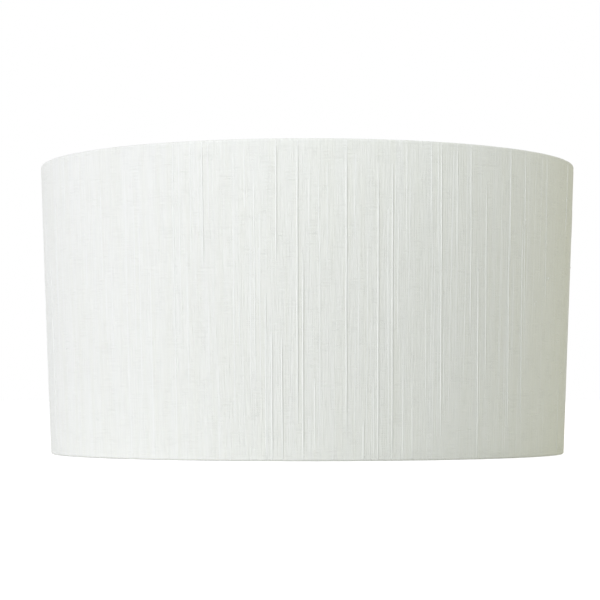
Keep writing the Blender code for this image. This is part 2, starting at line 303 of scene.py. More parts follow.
def spin(grid, outline, steps=TURNED_STEPS, closed=True, place=Matrix.Identity(4)):
    """Turns an outline of (radius, height) points round the Z axis, and puts the result in place."""
    rings = []
    for radius, height in outline:
        count = steps if radius > 1e-7 else 1
        turns = [math.tau * k / count for k in range(count)]
        rings.append([grid.verts.new(place @ polar(radius, turn, height)) for turn in turns])
    pairs = list(zip(rings, rings[1:])) + ([(rings[-1], rings[0])] if closed else [])
    for a, b in pairs:
        for k in range(steps):
            corners = [a[k % len(a)], a[(k + 1) % len(a)], b[(k + 1) % len(b)], b[k % len(b)]]
            grid.faces.new(dict.fromkeys(corners))
    bmesh.ops.recalc_face_normals(grid, faces=grid.faces)


def drill(piece, radius, reach):
    """Cuts a hole along X, right through at the pivot's height."""
    bit = bmesh.new()
    lie_down = Matrix.Translation(pivot) @ Matrix.Rotation(math.radians(90), 4, "Y")
    spin(bit, [(0, reach), (radius, reach), (radius, -reach), (0, -reach)], HOLE_STEPS, False, lie_down)
    tool_mesh = bpy.data.meshes.new("drill")
    bit.to_mesh(tool_mesh)
    bit.free()
    tool = bpy.data.objects.new("drill", tool_mesh)
    bpy.context.scene.collection.objects.link(tool)
    hole = piece.modifiers.new("pivot_holes", "BOOLEAN")
    hole.operation = "DIFFERENCE"
    hole.object = tool
    bpy.context.view_layer.update()
    drilled = bpy.data.meshes.new_from_object(piece.evaluated_get(bpy.context.evaluated_depsgraph_get()))
    piece.modifiers.clear()
    piece.data = drilled
    drilled.shade_smooth()
    drilled.set_sharp_from_angle(angle=math.radians(35))
    bpy.data.objects.remove(tool)


def band_outline():
    corners = [
        (CARRIER_OUTER, CARRIER_HALF),
        (CARRIER_OUTER, -CARRIER_HALF),
        (CARRIER_INNER, -CARRIER_HALF),
        (CARRIER_INNER, CARRIER_HALF),
    ]
    return [(radius, PIVOT_HEIGHT + height) for radius, height in rounded(corners, TUMBLED_EDGE)]


band = bmesh.new()
spin(band, band_outline())
carrier = mesh_piece("carrier_band", band, white_enamel, "shade", ["carrier_ring"])
drill(carrier, PIN_HOLE, CARRIER_OUTER * 1.2)

# The pressed ring's plate has a raised stiffening bead outside the reducer's flange.
BEAD_RADIUS = 0.0278
BEAD_HALF = 0.0011
BEAD_RISE = 0.0005


def fitter_outline():
    inner = FITTER_OUTER - FITTER_METAL
    low = PIVOT_HEIGHT - FITTER_HALF
    high = PIVOT_HEIGHT + FITTER_HALF
    bead_foot = BEAD_HALF * 0.9
    corners = [
        (FITTER_OUTER, high),
        (FITTER_OUTER, low),
        (BEAD_RADIUS + BEAD_HALF, low),
        (BEAD_RADIUS + BEAD_HALF - bead_foot, low + BEAD_RISE),
        (BEAD_RADIUS - BEAD_HALF + bead_foot, low + BEAD_RISE),
        (BEAD_RADIUS - BEAD_HALF, low),
        (FITTER_HOLE, low),
        (FITTER_HOLE, PLATE_TOP),
        (BEAD_RADIUS - BEAD_HALF, PLATE_TOP),
        (BEAD_RADIUS - BEAD_HALF + bead_foot, PLATE_TOP + BEAD_RISE),
        (BEAD_RADIUS + BEAD_HALF - bead_foot, PLATE_TOP + BEAD_RISE),
        (BEAD_RADIUS + BEAD_HALF, PLATE_TOP),
        (inner, PLATE_TOP),
        (inner, high),
    ]
    return rounded(corners, PRESSED_EDGE, 2)


pressing = bmesh.new()
spin(pressing, fitter_outline())
fitter = mesh_piece("fitter_pressing", pressing, white_enamel, "fitter", ["fitter_ring"])
drill(fitter, PIN_HOLE, FITTER_OUTER * 1.03)

# THE RIVETS AND THEIR WASHERS
# Zinc-plated steel rivets, clinched inside the fitter's rim. A moulded nylon washer on each fills the space
# between the two rings and rubs just enough to hold a tilt.


def zinc_plate():
    """Bright zinc on steel: a cool grey metal with faint cloudy spangles about 2 mm across."""
    plate, tree, shader = new_material("zinc_plated_steel", 0.34, metallic=1.0)
    place = put(tree, "ShaderNodeTexCoord").outputs["Object"]
    spangle = put(tree, "ShaderNodeTexVoronoi", {"Vector": place, "Scale": 1 / 0.002}).outputs["Distance"]
    grey = put(
        tree,
        "ShaderNodeMix",
        {"Factor": spangle, "A": linear("#c9ccd0"), "B": linear("#aeb2b6")},
        data_type="RGBA",
    )
    gloss = put(tree, "ShaderNodeMapRange", {"Value": spangle, "To Min": 0.28, "To Max": 0.45})
    into_shader(tree, shader, grey.outputs["Result"], gloss.outputs["Result"], spangle, 0.00001)
    return plate


def moulded_nylon():
    """Natural white nylon, injection moulded: slightly milky, with a spark-eroded texture of 0.3 mm grain.

    The grain is drawn 0.8 mm across, so that it shows. The milkiness drifts over about 15 mm.
    """
    nylon, tree, shader = new_material("moulded_white_nylon", 0.42, ior=1.53)
    shader.inputs["Subsurface Weight"].default_value = 0.08
    shader.inputs["Subsurface Scale"].default_value = 0.002
    place = put(tree, "ShaderNodeTexCoord").outputs["Object"]
    grain = put(tree, "ShaderNodeTexNoise", {"Vector": place, "Scale": 1 / 0.0008, "Detail": 2.0})
    flow = put(tree, "ShaderNodeTexNoise", {"Vector": place, "Scale": 1 / 0.015, "Detail": 2.0})
    milky = put(
        tree,
        "ShaderNodeMix",
        {"Factor": flow.outputs["Fac"], "A": linear("#f4f4ef"), "B": linear("#e8e8e0")},
        data_type="RGBA",
    )
    gloss = put(tree, "ShaderNodeMapRange", {"Value": grain.outputs["Fac"], "To Min": 0.36, "To Max": 0.48})
    into_shader(tree, shader, milky.outputs["Result"], gloss.outputs["Result"], grain.outputs["Fac"], 0.00003)
    return nylon


zinc = zinc_plate()
white_nylon = moulded_nylon()

MOULDED_EDGE = 0.0004
TAIL_IN = rivet_low.x
HEAD_OUT = rivet_high.x
HEAD_RADIUS = (rivet_high.z - rivet_low.z) / 2
HEAD_UNDER = CARRIER_OUTER + 0.0001
TAIL_RADIUS = 0.0029
TAIL_UNDER = FITTER_OUTER - FITTER_METAL - 0.0002
WASHER_RADIUS = (spacer_high.z - spacer_low.z) / 2


def rivet_outline():
    """Domed head, shank, and a tail spread by a clinching punch that leaves a dimple."""
    dome = [
        (HEAD_RADIUS * math.sin(a), HEAD_UNDER + (HEAD_OUT - HEAD_UNDER) * math.cos(a))
        for a in (math.radians(9 * k) for k in range(11))
    ]
    depth = TAIL_UNDER - TAIL_IN
    tail = [
        (PIN, HEAD_UNDER),
        (PIN, TAIL_UNDER),
        (TAIL_RADIUS * 0.93, TAIL_UNDER),
        (TAIL_RADIUS, TAIL_UNDER - depth * 0.3),
        (TAIL_RADIUS * 0.93, TAIL_UNDER - depth * 0.75),
        (TAIL_RADIUS * 0.7, TAIL_IN),
        (TAIL_RADIUS * 0.42, TAIL_IN + depth * 0.1),
        (TAIL_RADIUS * 0.2, TAIL_IN + depth * 0.5),
        (0, TAIL_IN + depth * 0.6),
    ]
    return dome + tail


def washer_outline():
    corners = [
        (WASHER_RADIUS, spacer_high.x),
        (WASHER_RADIUS, spacer_low.x),
        (PIN_HOLE, spacer_low.x),
        (PIN_HOLE, spacer_high.x),
    ]
    return rounded(corners, MOULDED_EDGE)


for side, turn in (("right", 90), ("left", -90)):
    on_axis = Matrix.Translation(pivot) @ Matrix.Rotation(math.radians(turn), 4, "Y")
    rivet = bmesh.new()
    spin(rivet, rivet_outline(), HOLE_STEPS, False, on_axis)
    mesh_piece(f"rivet_{side}", rivet, zinc, "shade", [f"pivot_rivet_{side}"])
    washer = bmesh.new()
    spin(washer, washer_outline(), HOLE_STEPS, True, on_axis)
    mesh_piece(f"washer_{side}", washer, white_nylon, "shade", [f"pivot_spacer_{side}"])

# THE REDUCER
# A moulded nylon ring that drops into the fitter's 42 mm hole and leaves a 29 mm one. It has a flange to
# sit on, a spigot to centre it, a collar round the hole and eight stiffening ribs.

RIBS = 8
RIB_WIDTH = 0.0012
RIB_HEIGHT = 0.0009
RIB_SINK = 0.0003
NYLON_WALL = 0.0016

reducer_low, reducer_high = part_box("reducer_ring")
FLANGE = reducer_high.x
SPIGOT = FITTER_HOLE - 0.0003
SMALL_HOLE = 0.0145
SEAT = PLATE_TOP + 0.0003
COLLAR_TOP = reducer_high.z
SPIGOT_END = reducer_low.z


def reducer_outline():
    top = SEAT + NYLON_WALL
    corners = [
        (SMALL_HOLE + NYLON_WALL, COLLAR_TOP),
        (SMALL_HOLE + NYLON_WALL, top),
        (FLANGE, top),
        (FLANGE, SEAT),
        (SPIGOT, SEAT),
        (SPIGOT, SPIGOT_END),
        (SPIGOT - NYLON_WALL, SPIGOT_END),
        (SPIGOT - NYLON_WALL, SEAT),
        (SMALL_HOLE, SEAT),
        (SMALL_HOLE, COLLAR_TOP),
    ]
    return rounded(corners, MOULDED_EDGE)


moulding = bmesh.new()
spin(moulding, reducer_outline())
for k in range(RIBS):
    rib = bmesh.ops.create_cube(moulding, size=1.0)["verts"]
    inner = SMALL_HOLE + NYLON_WALL * 0.6
    outer = FLANGE - RIB_WIDTH
    for corner in rib:
        x = inner if corner.co.x < 0 else outer
        y = corner.co.y * RIB_WIDTH * (0.8 if corner.co.z > 0 else 1.2)
        crest = RIB_HEIGHT * (1.0 if corner.co.x < 0 else 0.3)
        z = SEAT + NYLON_WALL + (crest if corner.co.z > 0 else -RIB_SINK)
        corner.co = Matrix.Rotation(math.tau * (k + 0.5) / RIBS, 3, "Z") @ Vector((x, y, z))
mesh_piece("reducer_moulding", moulding, white_nylon, "reducer", ["reducer_ring"])

# THE PANEL
# A 0.4 mm rigid PVC sheet, calendered smooth, gives the wall its shape. It is rolled to a drum inside the
# cloth, laps over its own first end at the back, and stops just short of both rings.

SEAM = math.radians(90)
LAP = 0.012
RAMP = 0.004
PANEL = 0.0004
CLOTH = 0.0005
TAPE = 0.0002
HAIR = 0.00003
COLUMN = math.radians(1.25)

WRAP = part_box("cover_fabric")[1].z - TOP_HEIGHT
WALL_TILT = -math.atan2(TOP_RADIUS - BOTTOM_RADIUS, TOP_HEIGHT - BOTTOM_HEIGHT)
WALL = math.hypot(TOP_RADIUS - BOTTOM_RADIUS, TOP_HEIGHT - BOTTOM_HEIGHT)
MIDDLE = (TOP_RADIUS + BOTTOM_RADIUS) / 2 + WRAP
SETBACK = WRAP + 0.0003
LAP_RISE = CLOTH + TAPE + PANEL + 3 * HAIR


def climb(turn):
    """How far a layer has climbed onto its own first end at that turn, with a soft start and finish."""
    share = min(1.0, max(0.0, (turn - math.tau + RAMP / MIDDLE) / (RAMP / MIDDLE)))
    return LAP_RISE * share * share * (3 - 2 * share)


def columns(last, extra=()):
    """Turns from 0 to last on an even grid, with extra ones put in and close neighbours left out."""
    kept = sorted({0.0, last, *extra})
    even = [COLUMN * k for k in range(1, int(last / COLUMN) + 1)]
    return sorted(kept + [turn for turn in even if min(abs(turn - k) for k in kept) > COLUMN * 0.2])


def lap_columns():
    """Extra columns where a layer climbs onto itself."""
    climbing = [math.tau - RAMP / MIDDLE + RAMP / MIDDLE * k / 8 for k in range(9)]
    lapped = [math.tau + LAP / MIDDLE * k / 6 for k in range(7)]
    return climbing + lapped


def sheet(name, turns, lengths, place, keep, material, replaced, thickness, soft_edge=60):
    """A rolled sheet. place(turn, length) gives its outer face, and keep(turn, length) says what is kept.

    Its UV map is the flat sheet, in metres: round the shade, and up it.
    """
    grid = bmesh.new()
    flat = grid.loops.layers.uv.new("flat_sheet")
    bmesh.ops.create_grid(grid, x_segments=len(turns) - 1, y_segments=len(lengths) - 1, size=0.5)
    where = {}
    for corner in grid.verts:
        turn = turns[round((corner.co.x + 0.5) * (len(turns) - 1))]
        length = lengths[round((corner.co.y + 0.5) * (len(lengths) - 1))]
        where[corner] = (turn, length)
        corner.co = place(turn, length)
    spare = []
    for face in grid.faces:
        middle = [sum(where[corner][axis] for corner in face.verts) / 4 for axis in (0, 1)]
        for loop in face.loops:
            loop[flat].uv = (where[loop.vert][0] * MIDDLE, where[loop.vert][1])
        if not keep(*middle):
            spare.append(face)
    bmesh.ops.delete(grid, geom=spare, context="FACES")
    piece = mesh_piece(name, grid, material, "shade", replaced, soft_edge)
    shell = piece.modifiers.new("thickness", "SOLIDIFY")
    shell.thickness = thickness
    shell.offset = -1
    shell.use_even_offset = True
    shell.use_quality_normals = True
    return piece


def rigid_pvc():
    """Calendered white PVC: smooth and satin, with faint streaks along the roll, 8 mm wide and 80 long."""
    pvc, tree, shader = new_material("white_rigid_pvc", 0.38, ior=1.53)
    place = put(tree, "ShaderNodeUVMap", uv_map="flat_sheet")
    drawn = put(tree, "ShaderNodeMapping", {"Vector": place.outputs["UV"], "Scale": (12, 120, 1)})
    streak = put(tree, "ShaderNodeTexNoise", {"Vector": drawn.outputs["Vector"], "Scale": 1.0, "Detail": 4.0})
    tint = put(
        tree,
        "ShaderNodeMix",
        {"Factor": streak.outputs["Fac"], "A": linear("#f1f1ec"), "B": linear("#e9e9e3")},
        data_type="RGBA",
    )
    gloss = put(tree, "ShaderNodeMapRange", {"Value": streak.outputs["Fac"], "To Min": 0.33, "To Max": 0.45})
    into_shader(tree, shader, tint.outputs["Result"], gloss.outputs["Result"], streak.outputs["Fac"], 0.00006)
    return pvc


white_pvc = rigid_pvc()


def place_panel(turn, length):
    """The panel's outer face, against the back of the cloth, at that length up the wall between the wires."""
    share = length / WALL
    radius = BOTTOM_RADIUS + (TOP_RADIUS - BOTTOM_RADIUS) * share
    height = BOTTOM_HEIGHT + (TOP_HEIGHT - BOTTOM_HEIGHT) * share
    out = WRAP - CLOTH - HAIR + climb(turn)
    return polar(radius + out * math.cos(WALL_TILT), SEAM + turn, height + out * math.sin(WALL_TILT))


panel_rows = [SETBACK + (WALL - 2 * SETBACK) * k / 24 for k in range(25)]
sheet(
    "pvc_panel",
    columns(math.tau + LAP / MIDDLE, lap_columns()),
    panel_rows,
    place_panel,
    lambda turn, length: True,
    white_pvc,
    ["liner_panel"],
    PANEL,
)

# THE CLOTH
# Ivory dupion, a plain weave of fine thread crossed by thicker slubby ones that run up the wall. It is
# laminated to the panel, and its margins are rolled round the two wires and tucked in behind them. The top
# hem is slit for each spoke.

HEM_END = math.radians(250)
HEM_STEPS = 30
SLIT_HALF = SPOKE_WIRE + 0.0004
SLIT_START = math.radians(112)
ROLL_POWER = 3.6
ROLL_FADE = 0.012
GROOVE = 0.0006
GROOVE_WIDTH = 0.0007
GROOVE_DEPTH = 0.00016
WAVE = 0.00022
WAVE_SIZE = (0.055, 0.16)
RIPPLE = 0.00007
RIPPLE_SIZE = (0.011, 0.03)
TUCK = 0.00012
TUCK_SIZE = 0.0035
SEAM_STIFF = 0.02

BOTTOM_HEM = WRAP * (HEM_END + WALL_TILT)
TOP_HEM = WRAP * (HEM_END - WALL_TILT)
CLOTH_LENGTH = BOTTOM_HEM + WALL + TOP_HEM


def spot(length):
    """The wire-side point and facing of the cloth at a length up from the tucked end of its bottom hem."""
    if length < BOTTOM_HEM:
        return BOTTOM_RADIUS, BOTTOM_HEIGHT, -HEM_END + length / WRAP
    if length > BOTTOM_HEM + WALL:
        return TOP_RADIUS, TOP_HEIGHT, WALL_TILT + (length - BOTTOM_HEM - WALL) / WRAP
    share = (length - BOTTOM_HEM) / WALL
    radius = BOTTOM_RADIUS + (TOP_RADIUS - BOTTOM_RADIUS) * share
    return radius, BOTTOM_HEIGHT + (TOP_HEIGHT - BOTTOM_HEIGHT) * share, WALL_TILT


def on_wall(length):
    """0 at and round the wires, 1 on the wall between them."""
    inward = min(length - BOTTOM_HEM, BOTTOM_HEM + WALL - length)
    return min(1.0, max(0.0, inward / ROLL_FADE))


def hand_work(turn, length):
    """How far the real cloth strays from a true surface.

    It is slack on the wall, it has a groove where each roll begins, and a hem that is rolled by hand is
    uneven and has small tucks. All but the groove fade out at the seam.
    """
    round_it = (turn % math.tau) * MIDDLE
    beside = min(abs(length - BOTTOM_HEM - GROOVE), abs(length - BOTTOM_HEM - WALL + GROOVE))
    stray = -GROOVE_DEPTH * math.exp(-((beside / GROOVE_WIDTH) ** 2))
    free = min(1.0, min(turn % math.tau, math.tau - turn % math.tau) * MIDDLE / SEAM_STIFF)
    slack = noise.noise(Vector((round_it / WAVE_SIZE[0], length / WAVE_SIZE[1], 4.2)))
    stray += WAVE * free * on_wall(length) * slack
    turned_in = min(1.0, max(0.0, abs(spot(length)[2]) - math.radians(20)))
    uneven = noise.noise(Vector((round_it / RIPPLE_SIZE[0], length / RIPPLE_SIZE[1], 1.3)))
    stray += RIPPLE * turned_in * free * uneven
    tucked = min(1.0, max(0.0, abs(spot(length)[2]) - math.radians(110)))
    stray += TUCK * tucked * free * noise.noise(Vector((round_it / TUCK_SIZE, 0, 7.7)))
    return stray


def place_cloth(turn, length, lift=0.0):
    """The cloth's outer face. Round the wires the lapped layer is a thickness of cloth higher, with no panel.

    The roll is a little square on its outer side, where the cloth is creased before it goes round the wire.
    """
    radius, height, facing = spot(length)
    roll = WRAP
    if abs(facing) < math.pi / 2:
        squared = abs(math.cos(facing)) ** ROLL_POWER + abs(math.sin(facing)) ** ROLL_POWER
        roll = WRAP / squared ** (1 / ROLL_POWER)
    layer = climb(turn) * (on_wall(length) + (1 - on_wall(length)) * (CLOTH + HAIR) / LAP_RISE)
    if turn > math.tau + LAP / MIDDLE + 1e-9:
        layer = HAIR + CLOTH * 0.5
    out = roll + layer + hand_work(turn, length) + lift
    return polar(radius + out * math.cos(facing), SEAM + turn, height + out * math.sin(facing))


def slit_turns():
    """The turns of the three slits' two edges and middles."""
    half = SLIT_HALF / TOP_RADIUS
    middles = [(spoke_angle(i) - SEAM) % math.tau for i in range(SPOKES)]
    return [middle + step * half for middle in middles for step in (-1, 0, 1)]


def cloth_is_kept(turn, length):
    in_slit = min(abs(turn - middle) for middle in slit_turns()[1::3]) < SLIT_HALF / TOP_RADIUS
    return not (in_slit and length > BOTTOM_HEM + WALL and spot(length)[2] > SLIT_START)


def cloth_rows():
    edge_steps = [0.0008, 0.0016, 0.0024, 0.0032, 0.0042, 0.0056, 0.0075]
    lower = [BOTTOM_HEM * k / HEM_STEPS for k in range(HEM_STEPS + 1)]
    upper = [BOTTOM_HEM + WALL + TOP_HEM * k / HEM_STEPS for k in range(HEM_STEPS + 1)]
    near_bottom = [BOTTOM_HEM + step for step in edge_steps]
    near_top = [BOTTOM_HEM + WALL - step for step in reversed(edge_steps)]
    between = WALL - 2 * edge_steps[-1]
    wall = [near_bottom[-1] + between * k / 40 for k in range(1, 40)]
    return lower + near_bottom + wall + near_top + upper


def dupion():
    """Ivory slub dupion: matt with a faint silky sheen, and fine ribs up the wall.

    In patches about 12 mm across, the threads that run round the shade show too. The threads are 0.4 mm apart
    in life. They are drawn about 1.8 mm apart, so that they show.
    """
    cloth, tree, shader = new_material("ivory_slub_dupion", 0.78, ior=1.46)
    shader.inputs["Sheen Weight"].default_value = 0.12
    shader.inputs["Sheen Roughness"].default_value = 0.45
    place = put(tree, "ShaderNodeUVMap", uv_map="flat_sheet")
    lean = (0, 0, math.radians(-0.4))
    grain = put(tree, "ShaderNodeMapping", {"Vector": place.outputs["UV"], "Rotation": lean})

    def streaks(across, along, detail, roughness):
        """Noise stretched to that size, in metres round the shade and up it."""
        scale = (1 / across, 1 / along, 1)
        drawn = put(tree, "ShaderNodeMapping", {"Vector": grain.outputs["Vector"], "Scale": scale})
        made = put(
            tree,
            "ShaderNodeTexNoise",
            {"Vector": drawn.outputs["Vector"], "Scale": 1.0, "Detail": detail, "Roughness": roughness},
            noise_dimensions="2D",
        )
        return made.outputs["Fac"]

    def times(a, b):
        return put(tree, "ShaderNodeMath", {0: a, 1: b}, operation="MULTIPLY").outputs[0]

    def plus(a, b):
        return put(tree, "ShaderNodeMath", {0: a, 1: b}, operation="ADD").outputs[0]

    ribs = streaks(0.0013, 0.028, 2.0, 0.65)
    weft = streaks(0.016, 0.0012, 2.0, 0.6)
    cloudy = streaks(0.011, 0.014, 1.0, 0.5)
    patches = put(
        tree,
        "ShaderNodeMapRange",
        {"Value": cloudy, "From Min": 0.44, "From Max": 0.62, "To Min": 0.12, "To Max": 1.0},
    )
    bands = streaks(0.006, 0.16, 2.0, 0.5)
    threads = plus(ribs, times(plus(weft, -0.5), patches.outputs["Result"]))
    fleck = put(tree, "ShaderNodeMapRange", {"Value": threads, "From Min": 0.25, "From Max": 0.75})
    tone = put(
        tree,
        "ShaderNodeMix",
        {"Factor": fleck.outputs["Result"], "A": linear("#e9ece3"), "B": linear("#eff2e9")},
        data_type="RGBA",
    )
    band_tone = put(tree, "ShaderNodeMapRange", {"Value": bands, "From Min": 0.3, "From Max": 0.7})
    cast = put(
        tree,
        "ShaderNodeMix",
        {"Factor": band_tone.outputs["Result"], "A": linear("#fdfdfb"), "B": linear("#ffffff")},
        data_type="RGBA",
    )
    colour = put(
        tree,
        "ShaderNodeMix",
        {"Factor": 1.0, "A": tone.outputs["Result"], "B": cast.outputs["Result"]},
        data_type="RGBA",
        blend_type="MULTIPLY",
    )
    gloss = put(tree, "ShaderNodeMapRange", {"Value": ribs, "To Min": 0.86, "To Max": 0.70})
    into_shader(tree, shader, colour.outputs["Result"], gloss.outputs["Result"], threads, 0.00046)
    return cloth


ivory_dupion = dupion()
cloth_end = math.tau + LAP / MIDDLE + 0.0006 / MIDDLE
cover = sheet(
    "dupion_cover",
    columns(cloth_end, [*lap_columns(), *slit_turns()]),
    cloth_rows(),
    place_cloth,
    cloth_is_kept,
    ivory_dupion,
    ["cover_fabric"],
    CLOTH,
)

# THE SLUBS
# The thick places in the dupion's slubby threads. Each is a soft strand, half sunk in the weave, that runs
# up the wall and swells and thins on the way. A bold one has a strip of painted shadow on its right, where
# its own shadow falls away from the window. Here and there sits a nep, a small knot of fibre.

SLUB_STEP = 0.0025
# A strand's outline and that of the strip of painted shadow on its right: shares of its half width and of its
# height.
STRAND = ((-1.0, -0.35), (-0.8, 0.45), (-0.42, 0.9), (0.05, 1.0), (0.5, 0.85), (0.86, 0.4), (1.0, -0.35))
PAINTED_SHADOW = ((1.0, 0.07), (1.7, 0.07), (1.7, -0.35))
# Strands bolder than this get a strip of painted shadow on their right.
LEAST_SHADOWED_BOLDNESS = 0.62
SLUB_HEIGHT = 0.00052
SLUB_WIDTHS = (0.00085, 0.0013)
SLUB_SWELL = 0.018
SLUB_WANDER = 0.0003
SLUB_WANDER_LENGTH = 0.05
SLUB_LEAN = 0.04
WALL_FROM = BOTTOM_HEM - WRAP * math.radians(80)
WALL_TO = BOTTOM_HEM + WALL + WRAP * math.radians(85)

# Degrees round from the front at mid-height, shares of the wall's height at its two ends, and boldness.
FRONT_SLUBS = (
    (-59.8, 0.80, 1.00, 0.35),
    (-53.3, 0.80, 1.00, 0.30),
    (-45.8, 0.58, 0.88, 0.40),
    (-43.0, 0.36, 0.62, 0.35),
    (-26.9, 0.20, 1.00, 0.60),
    (-23.1, 0.65, 1.00, 0.45),
    (-20.6, 0.60, 1.00, 0.65),
    (-19.3, 0.75, 1.00, 0.35),
    (-13.3, 0.36, 0.50, 0.35),
    (-10.2, 0.25, 0.90, 0.35),
    (-8.1, 0.00, 0.52, 0.65),
    (-6.9, 0.00, 0.40, 0.65),
    (-6.0, 0.62, 1.00, 0.80),
    (-4.9, 0.00, 0.38, 0.85),
    (-1.9, 0.12, 1.00, 1.00),
    (-0.8, 0.00, 0.64, 0.95),
    (0.4, 0.72, 0.92, 0.35),
    (1.5, 0.04, 0.26, 0.45),
    (2.2, 0.68, 0.90, 0.45),
    (3.9, 0.60, 0.92, 0.35),
    (7.6, 0.08, 1.00, 0.90),
    (9.3, 0.74, 0.90, 0.40),
    (11.0, 0.00, 0.13, 0.70),
    (13.1, 0.00, 0.26, 0.40),
    (13.9, 0.00, 0.92, 1.00),
    (16.0, 0.24, 0.78, 0.55),
    (16.8, 0.00, 0.92, 1.00),
    (18.0, 0.36, 0.78, 0.50),
    (19.1, 0.00, 0.38, 0.50),
    (19.8, 0.60, 1.00, 0.50),
    (21.0, 0.00, 0.26, 0.60),
    (23.9, 0.18, 0.50, 0.35),
    (25.1, 0.74, 1.00, 0.35),
    (26.6, 0.62, 1.00, 0.60),
    (27.3, 0.08, 1.00, 1.00),
    (28.0, 0.18, 0.42, 0.45),
    (31.0, 0.62, 1.00, 0.70),
    (34.4, 0.40, 1.00, 0.70),
    (36.3, 0.00, 0.64, 1.10),
    (38.4, 0.25, 0.88, 0.80),
    (45.4, 0.62, 1.00, 1.00),
    (45.0, 0.08, 0.72, 1.00),
    (49.4, 0.12, 0.76, 0.90),
    (50.3, 0.38, 1.00, 0.70),
    (59.0, 0.48, 1.00, 0.60),
    (68.3, 0.00, 0.26, 0.70),
)
# Degrees round from the front, share of the wall's height, and size.
FRONT_NEPS = (
    (60.2, 0.59, 1.0),
    (45.7, 0.19, 1.0),
    (45.3, 0.30, 0.9),
    (50.0, 0.77, 0.7),
    (44.9, 0.47, 0.8),
    (42.7, 0.35, 0.8),
    (49.6, 0.38, 0.7),
    (70.7, 0.28, 0.8),
    (38.1, 0.65, 0.6),
    (34.3, 0.73, 0.5),
    (37.0, 0.61, 0.6),
)
FRONT_EDGE = math.radians(62)
FAINT = (0.10, 0.26)
BOLD = (0.4, 1.0)
BOLD_SHARE = 0.45
STRAY_SLUBS = 150
STRAY_NEPS = 34
NEP = 0.0009


def slub_silk():
    """The soft thick part of an ivory silk thread, with a faint sheen. It is paler than the weave round it:
    partly its own tone and partly a painted highlight.

    Its fibres lie along it, drawn 0.6 mm wide and 11 mm long.
    """
    silk, tree, shader = new_material("ivory_slub_silk", 0.72, ior=1.46)
    shader.inputs["Sheen Weight"].default_value = 0.12
    shader.inputs["Sheen Roughness"].default_value = 0.45
    place = put(tree, "ShaderNodeUVMap", uv_map="flat_sheet")
    scale = (1 / 0.0006, 1 / 0.011, 1)
    drawn = put(tree, "ShaderNodeMapping", {"Vector": place.outputs["UV"], "Scale": scale})
    fibre = put(tree, "ShaderNodeTexNoise", {"Vector": drawn.outputs["Vector"], "Scale": 1.0, "Detail": 2.0})
    # These pale colours are partly a painted highlight on the strands and neps.
    tone = put(
        tree,
        "ShaderNodeMix",
        {"Factor": fibre.outputs["Fac"], "A": linear("#ecefe7"), "B": linear("#f3f6ee")},
        data_type="RGBA",
    )
    gloss = put(tree, "ShaderNodeMapRange", {"Value": fibre.outputs["Fac"], "To Min": 0.80, "To Max": 0.64})
    into_shader(tree, shader, tone.outputs["Result"], gloss.outputs["Result"], fibre.outputs["Fac"], 0.00006)
    return silk


def painted_slub_shadow():
    """Painted shadow: the dupion darker and duller in a strip on the right of a bold strand, where its shadow
    falls.

    Its tone drifts over about 6 mm up the wall.
    """
    weave, tree, shader = new_material("ivory_painted_slub_shadow", 0.95, ior=1.46)
    place = put(tree, "ShaderNodeUVMap", uv_map="flat_sheet")
    scale = (1 / 0.002, 1 / 0.006, 1)
    drawn = put(tree, "ShaderNodeMapping", {"Vector": place.outputs["UV"], "Scale": scale})
    shadow_mottle = put(tree, "ShaderNodeTexNoise", {"Vector": drawn.outputs["Vector"], "Scale": 1.0, "Detail": 2.0})
    # These dark colours are painted shadow, not a colour of the cloth.
    tone = put(
        tree,
        "ShaderNodeMix",
        {"Factor": shadow_mottle.outputs["Fac"], "A": linear("#d1d3c9"), "B": linear("#e1e3d9")},
        data_type="RGBA",
    )
    gloss = put(tree, "ShaderNodeMapRange", {"Value": shadow_mottle.outputs["Fac"], "To Min": 0.98, "To Max": 0.88})
    into_shader(tree, shader, tone.outputs["Result"], gloss.outputs["Result"], shadow_mottle.outputs["Fac"], 0.00006)
    return weave


def add_slub(grid, flat, turn, low, high, boldness, lean, seed):
    """Lays one strand on the cloth between two lengths up it, and a strip of painted shadow beside it if it
    is bold.
    """
    count = max(6, round((high - low) / SLUB_STEP))
    outline = (*STRAND[:-1], *PAINTED_SHADOW) if boldness > LEAST_SHADOWED_BOLDNESS else STRAND
    width = SLUB_WIDTHS[0] + (SLUB_WIDTHS[1] - SLUB_WIDTHS[0]) * boldness
    rows = []
    for k in range(count + 1):
        length = low + (high - low) * k / count
        taper = min(1.0, 7 * k / count, 7 * (count - k) / count)
        swell = (0.12 + 0.88 * taper) * (0.9 + 0.3 * noise.noise(Vector((seed, length / SLUB_SWELL, 0))))
        middle = turn - lean * (length / CLOTH_LENGTH - 0.5)
        middle += SLUB_WANDER * noise.noise(Vector((seed, length / SLUB_WANDER_LENGTH, 9.1))) / MIDDLE
        row = []
        for across, up in outline:
            here = middle + across * width / 2 * (0.5 + 0.5 * swell) / MIDDLE
            lift = SLUB_HEIGHT * boldness * (swell if up > 0 else 1) * up
            row.append((grid.verts.new(place_cloth(here, length, lift)), (here * MIDDLE, length)))
        rows.append(row)
    quads = []
    for lower, upper in zip(rows, rows[1:]):
        for k in range(len(outline)):
            following = (k + 1) % len(outline)
            quads.append((lower[k], lower[following], upper[following], upper[k]))
    for number, quad in enumerate([*quads, rows[0][::-1], rows[-1]]):
        face = grid.faces.new([corner for corner, _ in quad])
        # The faces of the strip of painted shadow take the second material.
        in_painted_shadow = number < len(quads) and outline[number % len(outline)] == PAINTED_SHADOW[0]
        face.material_index = 1 if in_painted_shadow else 0
        for loop, (_, uv) in zip(face.loops, quad):
            loop[flat].uv = uv


